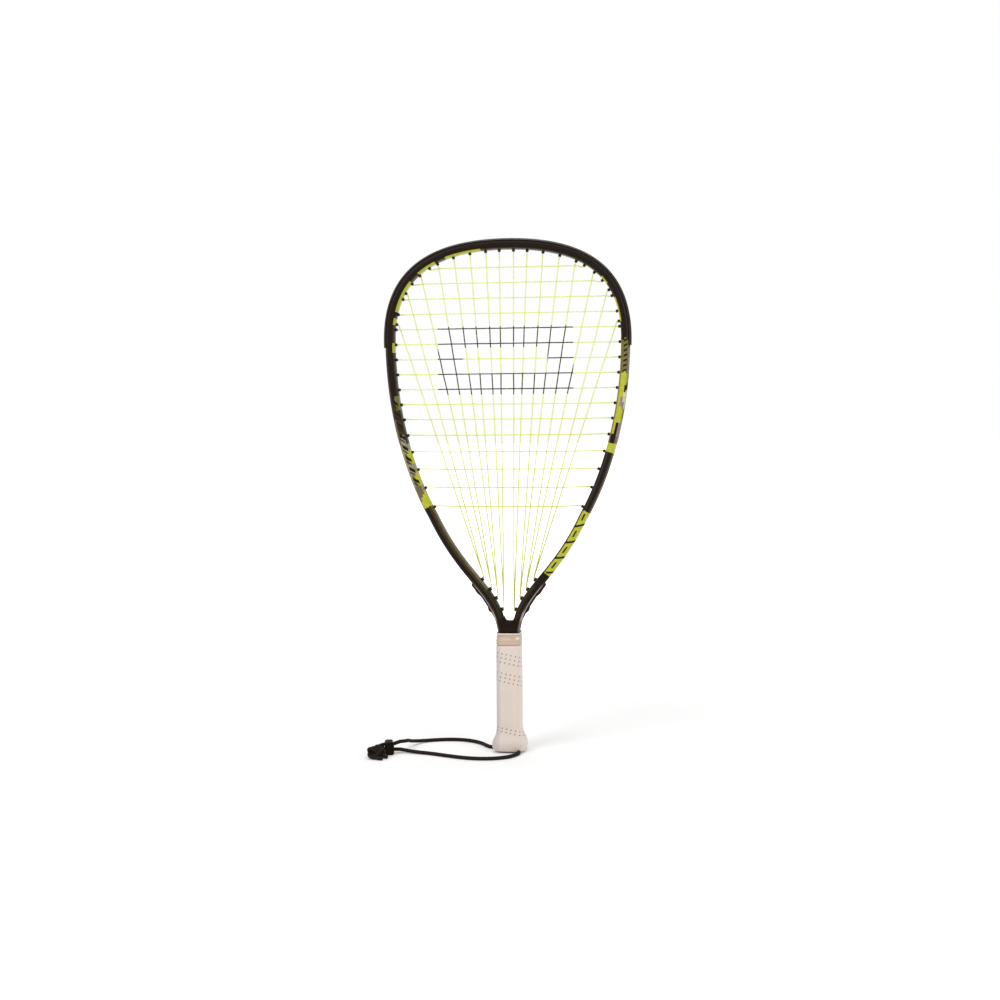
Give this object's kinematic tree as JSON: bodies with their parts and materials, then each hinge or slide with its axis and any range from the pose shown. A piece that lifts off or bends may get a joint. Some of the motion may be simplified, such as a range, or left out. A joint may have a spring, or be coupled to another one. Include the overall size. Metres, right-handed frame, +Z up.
{
  "type": "racquetball racket",
  "caption": "Teardrop-headed racket with a woven string bed, bumper guard, wrapped grip and a wrist tether with a spring cord lock.",
  "frame": {"origin": "middle of the butt's foot, on the surface the racket stands on", "axes": "+Z up along the handle to the head's crown, +X across the head to the right as seen from the front, +Y away from the front"},
  "size_m": [0.286, 0.101, 0.5588],
  "materials": {
    "frame_paint": "glossy lacquer with painted bands",
    "nylon_black": "satin moulded nylon",
    "string_yellow": "smooth monofilament",
    "foam_grey": "moulded foam",
    "cap_black": "moulded plastic",
    "steel": "plain",
    "grip_beige": "perforated soft wrap",
    "tape_tan": "matt stretched band",
    "collar_white": "matt",
    "cord_black": "braided",
    "lock_black": "satin moulded plastic"
  },
  "bodies": {
    "racket": {"frame_hoop": "frame_paint", "throat_bridge": "frame_paint", "bumper_guard": "nylon_black", "grommet_strip_left": "nylon_black", "grommet_strip_right": "nylon_black", "throat_grommets_left": "nylon_black", "throat_grommets_right": "nylon_black", "main_string": "string_yellow", "cross_string": "string_yellow", "pallet_front": "foam_grey", "pallet_back": "foam_grey", "leg_plug_left": "foam_grey", "leg_plug_right": "foam_grey", "butt_cap": "cap_black", "butt_screw_front": "steel", "butt_screw_back": "steel", "tether_pin": "steel", "grip_wrap": "grip_beige", "finishing_tape": "tape_tan", "grip_collar": "collar_white", "tether_front": "cord_black", "tether_back": "cord_black", "tether_bight": "cord_black", "tether_knot": "cord_black", "cord_lock_body": "lock_black", "cord_lock_spring": "steel"},
    "lock_button": {"cord_lock_button": "lock_black"}
  },
  "joints": [
    {"name": "lock_button_press", "type": "slide", "parent": "racket", "child": "lock_button", "axis": [0.2588, -0.9659, 0], "range_m": [0, 0.0025], "stiffness_N_per_m": 400, "springref_m": -0.002, "deforming": ["cord_lock_spring"]}
  ]
}
